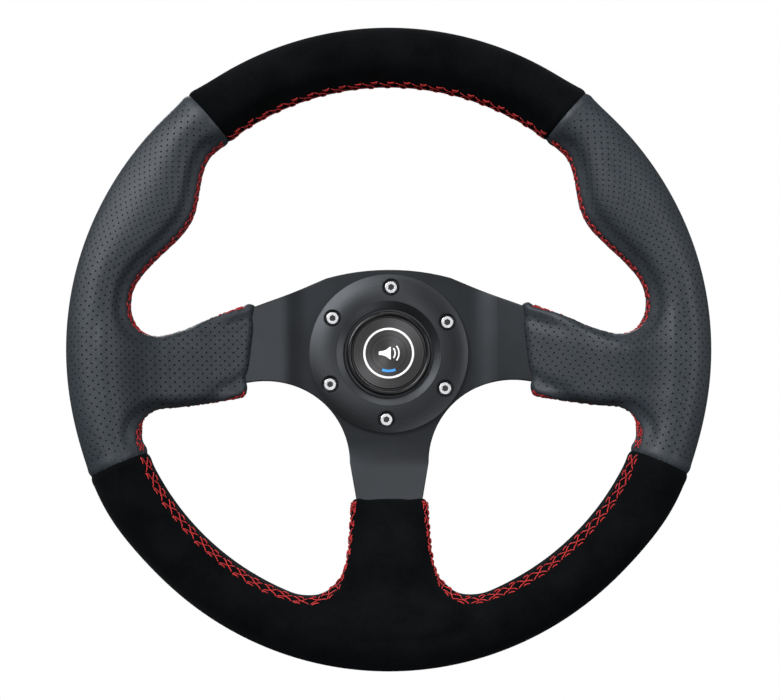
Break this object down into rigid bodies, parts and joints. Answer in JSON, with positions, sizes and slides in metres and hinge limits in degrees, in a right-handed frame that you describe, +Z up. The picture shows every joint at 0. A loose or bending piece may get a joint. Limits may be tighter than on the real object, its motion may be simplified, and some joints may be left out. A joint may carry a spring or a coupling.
{
  "type": "quick release steering wheel",
  "caption": "Round three-spoke racing steering wheel with leather and suede grips, on a splined quick release hub with a sliding lock ring and a horn button.",
  "frame": {"origin": "centre of the column flange's back face, on the wheel's axis", "axes": "+Y along the wheel's axis, away from the driver into the column; +Z up; +X to the driver's right"},
  "size_m": [0.3206, 0.106, 0.3206],
  "materials": {
    "hub_black": "black anodised, satin",
    "insulator": "moulded nylon",
    "brass": "turned",
    "spring_steel": "bright drawn",
    "bearing_steel": "ground and polished",
    "hoop_metal": "as drawn",
    "plate_black": "black anodised, satin",
    "foam": "moulded polyurethane",
    "leather": "perforated, soft sheen",
    "suede": "brushed microfibre suede",
    "thread": "waxed thread",
    "trim_black": "black anodised, fine turned",
    "screw_chrome": "polished",
    "horn_gloss": "gloss",
    "horn_face": "fine brushed",
    "emblem": "printed",
    "ring_metal": "anodised, satin"
  },
  "bodies": {
    "column_side": {"column_spigot": "hub_black", "contact_puck": "insulator", "contact_annulus": "brass", "contact_stud": "brass"},
    "wheel": {"coupler_hub": "hub_black", "ring_circlip": "spring_steel", "ring_spring": "spring_steel", "rim_hoop": "hoop_metal", "spoke_plate": "plate_black", "grip_foam": "foam", "leather_right": "leather", "leather_left": "leather", "suede_top": "suede", "suede_bottom": "suede", "thread_right": "thread", "thread_left": "thread", "thread_top": "thread", "thread_bottom": "thread", "trim_ring": "trim_black", "ring_screws": "screw_chrome", "horn_housing": "horn_gloss", "horn_spring": "spring_steel", "fixed_contact": "brass", "pin_carrier": "insulator", "contact_pins": "brass"},
    "horn_button": {"horn_cap": "horn_face", "emblem_disc": "emblem", "moving_contact": "brass"},
    "release_ring": {"release_ring": "ring_metal"},
    "lock_ball_1": {"lock_ball_1": "bearing_steel"},
    "lock_ball_2": {"lock_ball_2": "bearing_steel"},
    "lock_ball_3": {"lock_ball_3": "bearing_steel"},
    "lock_ball_4": {"lock_ball_4": "bearing_steel"},
    "lock_ball_5": {"lock_ball_5": "bearing_steel"},
    "lock_ball_6": {"lock_ball_6": "bearing_steel"}
  },
  "joints": [
    {"name": "pull_off", "type": "slide", "parent": "column_side", "child": "wheel", "axis": [0, -1, 0], "range_m": [0, 0.045]},
    {"name": "ring_slide", "type": "slide", "parent": "wheel", "child": "release_ring", "axis": [0, -1, 0], "range_m": [-0.005, 0], "deforming": ["ring_spring"]},
    {"name": "horn_press", "type": "slide", "parent": "wheel", "child": "horn_button", "axis": [0, 1, 0], "range_m": [0, 0.002], "stiffness_N_per_m": 600, "springref_m": -0.002, "deforming": ["horn_spring"]},
    {"name": "ball_1_slide", "type": "slide", "parent": "wheel", "child": "lock_ball_1", "axis": [1, 0, 0], "range_m": [-0.00141, 0]},
    {"name": "ball_2_slide", "type": "slide", "parent": "wheel", "child": "lock_ball_2", "axis": [0.5, 0, 0.866], "range_m": [-0.00141, 0]},
    {"name": "ball_3_slide", "type": "slide", "parent": "wheel", "child": "lock_ball_3", "axis": [-0.5, 0, 0.866], "range_m": [-0.00141, 0]},
    {"name": "ball_4_slide", "type": "slide", "parent": "wheel", "child": "lock_ball_4", "axis": [-1, 0, 0], "range_m": [-0.00141, 0]},
    {"name": "ball_5_slide", "type": "slide", "parent": "wheel", "child": "lock_ball_5", "axis": [-0.5, 0, -0.866], "range_m": [-0.00141, 0]},
    {"name": "ball_6_slide", "type": "slide", "parent": "wheel", "child": "lock_ball_6", "axis": [0.5, 0, -0.866], "range_m": [-0.00141, 0]}
  ],
  "couplings": [
    {"joint": "ball_1_slide", "follows": "ring_slide", "ratio": 0.28},
    {"joint": "ball_2_slide", "follows": "ring_slide", "ratio": 0.28},
    {"joint": "ball_3_slide", "follows": "ring_slide", "ratio": 0.28},
    {"joint": "ball_4_slide", "follows": "ring_slide", "ratio": 0.28},
    {"joint": "ball_5_slide", "follows": "ring_slide", "ratio": 0.28},
    {"joint": "ball_6_slide", "follows": "ring_slide", "ratio": 0.28}
  ]
}
